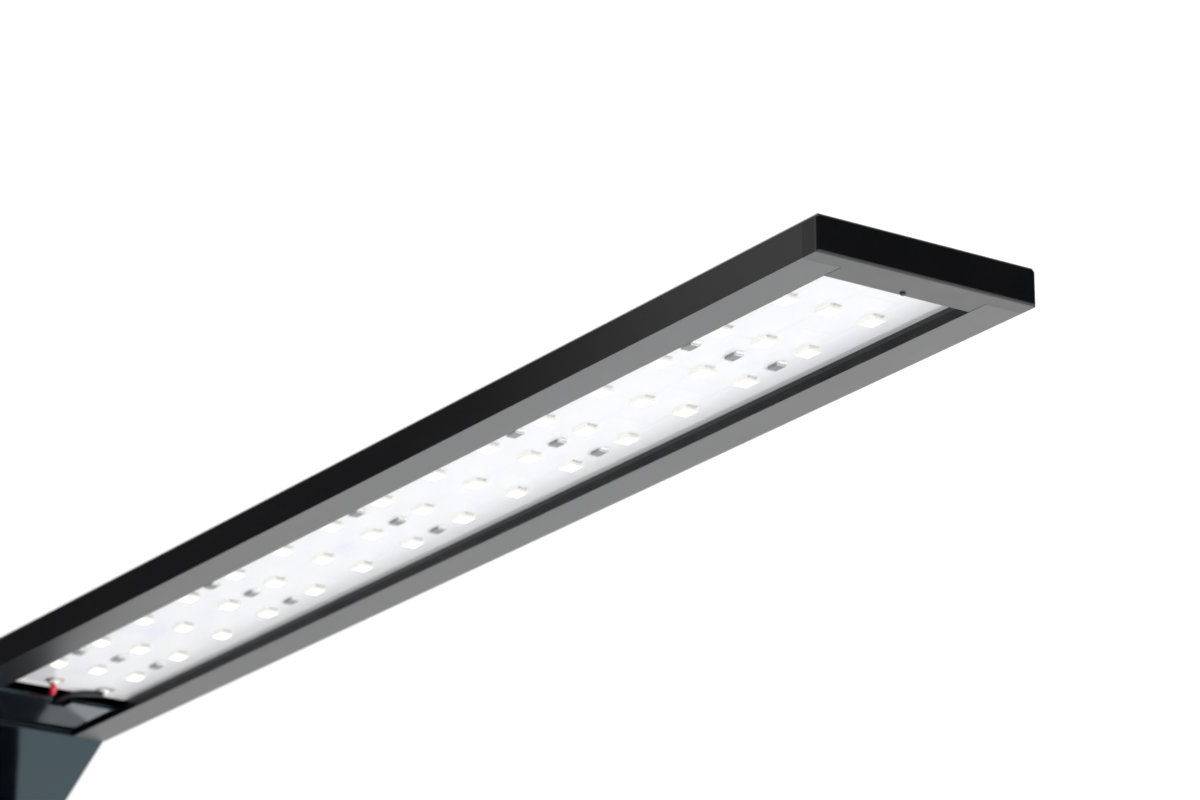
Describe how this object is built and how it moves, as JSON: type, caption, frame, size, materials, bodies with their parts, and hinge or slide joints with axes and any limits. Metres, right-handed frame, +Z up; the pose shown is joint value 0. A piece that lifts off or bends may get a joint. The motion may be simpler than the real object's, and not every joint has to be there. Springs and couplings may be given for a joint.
{
  "type": "led aquarium light",
  "caption": "Slim clip-on LED light for a small aquarium: flat black channel with a lit white LED board, sloping neck, rim clamp with thumbscrews and an in-line switch.",
  "frame": {"origin": "centre of the rim seat, where the clamp's bridge rests on the top edge of the tank glass", "axes": "+X from the clamp over the water to the light's free end, +Z up, Y across the light"},
  "size_m": [0.3535, 0.0412, 0.2287],
  "materials": {
    "black_anodised": "satin black anodised",
    "black_plastic": "moulded satin",
    "gloss_black": "polished",
    "white_board": "white solder mask",
    "grey_tape": "thermal tape",
    "clear_plastic": "clear acrylic",
    "led_white": "moulded package",
    "led_phosphor": "lit phosphor",
    "resistor_black": "glazed chip",
    "tin": "tinned",
    "solder": "bright solder",
    "wire_red": "insulation",
    "wire_black": "insulation",
    "black_steel": "gloss paint",
    "screw_steel": "machined",
    "black_rubber": "matt",
    "brass": "turned",
    "cable_black": "soft satin",
    "switch_grey": "moulded satin",
    "contact_block": "moulded",
    "plug_metal": "nickel plated"
  },
  "bodies": {
    "lamp": {"head_extrusion": "black_anodised", "end_cap": "black_plastic", "led_board": "white_board", "thermal_tape": "grey_tape", "clear_cover": "clear_plastic", "led_packages": "led_white", "led_lenses": "led_phosphor", "chip_resistors": "resistor_black", "resistor_terminals": "tin", "solder_joints": "solder", "lead_wire_red": "wire_red", "lead_wire_black": "wire_black", "neck_shell": "gloss_black", "neck_cover": "gloss_black", "elbow_bracket": "black_steel", "head_screws": "screw_steel", "bracket_screws": "screw_steel", "clamp_screws": "screw_steel", "clamp_body": "black_plastic", "rim_pad": "black_rubber", "jaw_liner": "black_rubber", "thread_inserts": "brass", "cable_gland": "black_rubber", "power_cable_upper": "cable_black", "power_cable_lower": "cable_black", "switch_front_shell": "black_plastic", "switch_back_shell": "black_plastic", "switch_contact_block": "contact_block", "switch_screws": "screw_steel", "plug_body": "cable_black", "plug_barrel": "plug_metal", "plug_insulator": "contact_block", "plug_contact": "plug_metal"},
    "pad_left_carriage": {"pressure_pad_left": "black_plastic", "pad_face_left": "black_rubber"},
    "pad_right_carriage": {"pressure_pad_right": "black_plastic", "pad_face_right": "black_rubber"},
    "thumbscrew_left_body": {"thumbscrew_left": "screw_steel", "knob_left": "black_plastic"},
    "thumbscrew_right_body": {"thumbscrew_right": "screw_steel", "knob_right": "black_plastic"},
    "button": {"switch_button": "switch_grey"}
  },
  "joints": [
    {"name": "pad_left_advance", "type": "slide", "parent": "lamp", "child": "pad_left_carriage", "axis": [1, 0, 0], "range_m": [0, 0.008]},
    {"name": "thumbscrew_left_turn", "type": "hinge", "parent": "pad_left_carriage", "child": "thumbscrew_left_body", "pos_m": [-0.027, 0.012, -0.016], "axis": [1, 0, 0], "range_deg": [0, 2880]},
    {"name": "pad_right_advance", "type": "slide", "parent": "lamp", "child": "pad_right_carriage", "axis": [1, 0, 0], "range_m": [0, 0.008]},
    {"name": "thumbscrew_right_turn", "type": "hinge", "parent": "pad_right_carriage", "child": "thumbscrew_right_body", "pos_m": [-0.027, -0.012, -0.016], "axis": [1, 0, 0], "range_deg": [0, 2880]},
    {"name": "switch_press", "type": "slide", "parent": "lamp", "child": "button", "axis": [1, 0, 0], "range_m": [0, 0.0008], "stiffness_N_per_m": 900}
  ],
  "couplings": [
    {"joint": "thumbscrew_left_turn", "follows": "pad_left_advance", "rad_per_m": 6283.2},
    {"joint": "thumbscrew_right_turn", "follows": "pad_right_advance", "rad_per_m": 6283.2}
  ]
}
